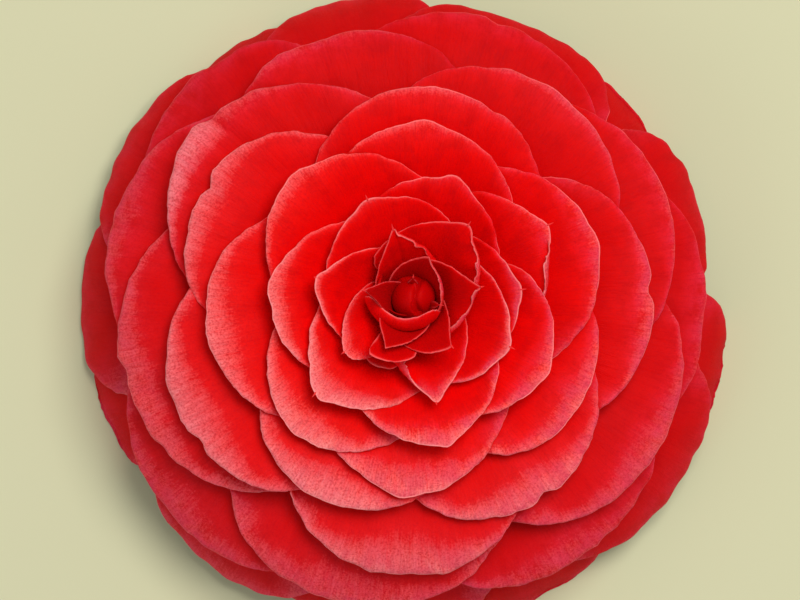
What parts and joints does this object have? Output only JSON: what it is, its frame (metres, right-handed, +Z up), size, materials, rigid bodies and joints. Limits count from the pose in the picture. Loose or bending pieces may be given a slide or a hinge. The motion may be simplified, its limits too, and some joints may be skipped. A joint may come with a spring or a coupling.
{
  "type": "camellia flower",
  "caption": "Picked formal double camellia bloom lying face up, with overlapping petals in rings, a scaly calyx and a short stub of stem.",
  "frame": {"origin": "on the resting surface, under the middle of the bloom's outer box", "axes": "+Z up the flower's axis, out of its face; +Y towards the top of the bloom as it is pictured, +X to its right"},
  "size_m": [0.0954, 0.0932, 0.0377],
  "materials": {
    "petal": "soft satin petal, deep red in the folds and coral pink at the margins",
    "sepal": "matt silky green scale, browner at its rim",
    "bark": "young green-brown bark with a pale cut end"
  },
  "bodies": {
    "root": {"petals": "petal", "calyx": "sepal", "stem": "bark"}
  },
  "joints": []
}
